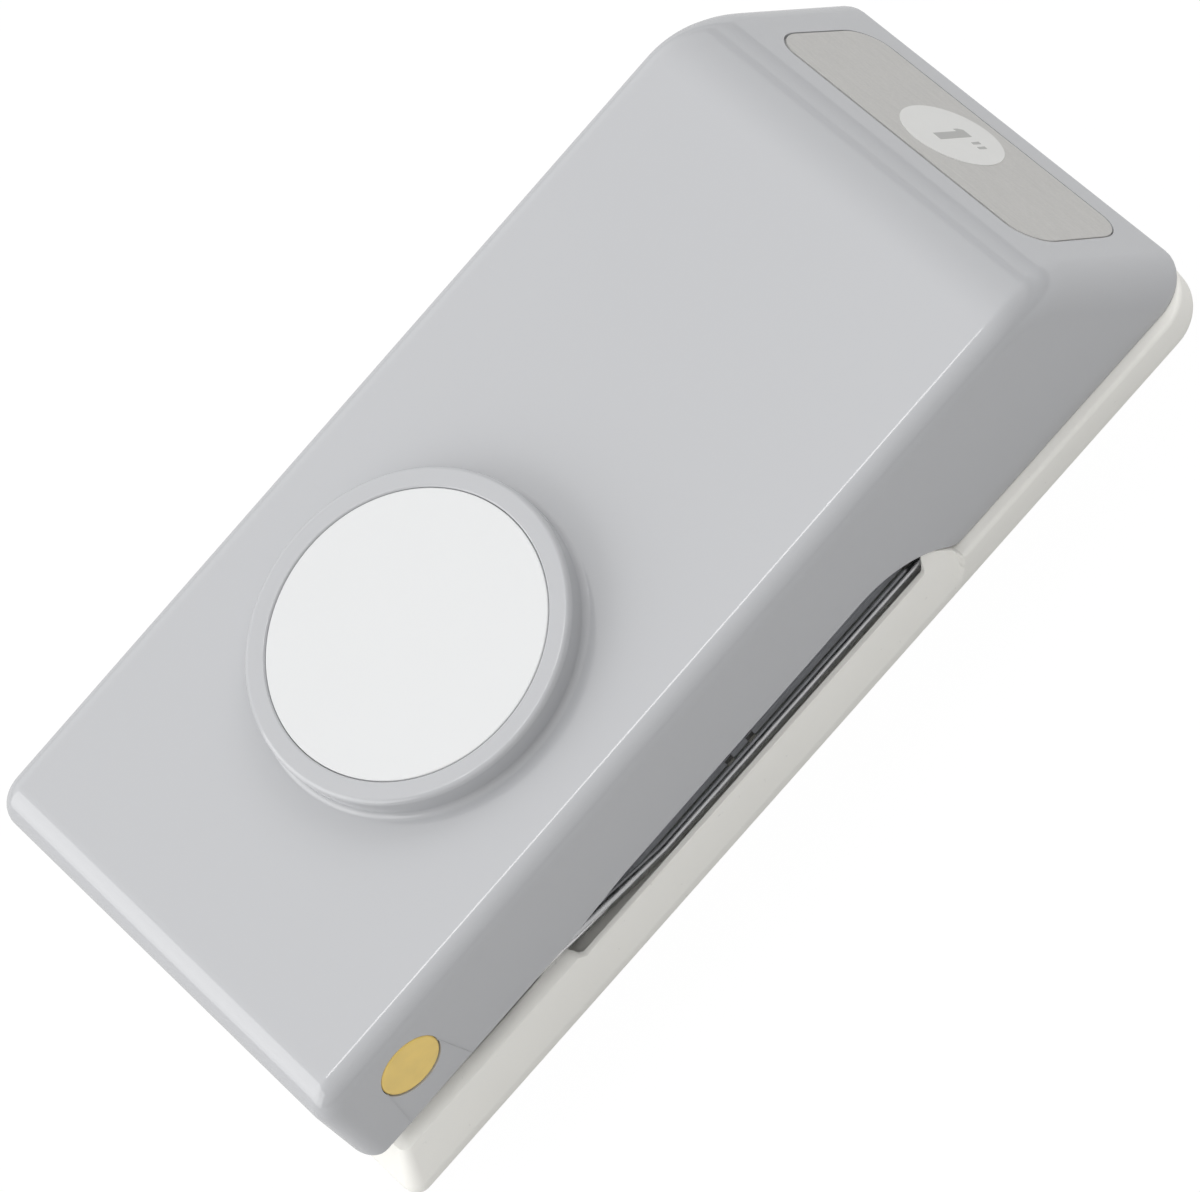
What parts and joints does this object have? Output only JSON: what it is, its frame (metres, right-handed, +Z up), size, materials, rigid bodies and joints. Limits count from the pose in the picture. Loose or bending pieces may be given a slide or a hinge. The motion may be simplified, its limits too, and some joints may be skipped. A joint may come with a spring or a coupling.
{
  "type": "circle craft punch",
  "caption": "Slim lever-action craft punch that cuts a round disc from paper, with a hinged grey top, off-white base and side throat.",
  "frame": {"origin": "middle of the base's underside, on the table", "axes": "+X from the hinge to the sloped front, +Z up"},
  "size_m": [0.099, 0.0476, 0.0218],
  "materials": {
    "base_plastic": "satin off-white",
    "lever_plastic": "gloss cool light grey",
    "disc_plastic": "smooth white",
    "plate_metal": "fine brushed warm grey",
    "badge_print": "flat white print",
    "pin_plastic": "flat yellow",
    "wire_steel": "drawn wire",
    "die_steel": "dark ground steel",
    "bright_steel": "ground steel",
    "black_plastic": "moulded black"
  },
  "bodies": {
    "base": {"base_tray": "base_plastic", "die_carrier": "die_steel", "die_plate": "bright_steel", "front_spacer": "die_steel", "rear_spacer": "die_steel", "guide_block": "die_steel", "die_screws": "bright_steel", "pivot_pin_left": "pin_plastic", "pivot_pin_right": "pin_plastic", "wire_keeper": "black_plastic", "keeper_screws": "bright_steel"},
    "lever": {"lever_shell": "lever_plastic", "shape_disc": "disc_plastic", "size_plate": "plate_metal", "size_badge": "badge_print", "cross_pin": "bright_steel"},
    "punch": {"punch_plug": "bright_steel", "punch_carrier": "black_plastic", "punch_screws": "bright_steel"},
    "wire": {"return_wire": "wire_steel"},
    "lock": {"lock_slide": "pin_plastic"}
  },
  "joints": [
    {"name": "lever_hinge", "type": "hinge", "parent": "base", "child": "lever", "pos_m": [-0.0408, 0, 0.0129], "axis": [0, -1, 0], "range_deg": [0, 7]},
    {"name": "punch_stroke", "type": "slide", "parent": "base", "child": "punch", "axis": [0, 0, 1], "range_m": [0, 0.0045]},
    {"name": "wire_swing", "type": "hinge", "parent": "base", "child": "wire", "pos_m": [0.01855, 0, 0.0027], "axis": [0, 1, 0], "range_deg": [0, 1.25]},
    {"name": "lock_travel", "type": "slide", "parent": "base", "child": "lock", "axis": [1, 0, 0], "range_m": [0, 0.0018]}
  ],
  "couplings": [
    {"joint": "punch_stroke", "follows": "lever_hinge", "m_per_rad": 0.036735},
    {"joint": "wire_swing", "follows": "lever_hinge", "ratio": 0.1752}
  ]
}
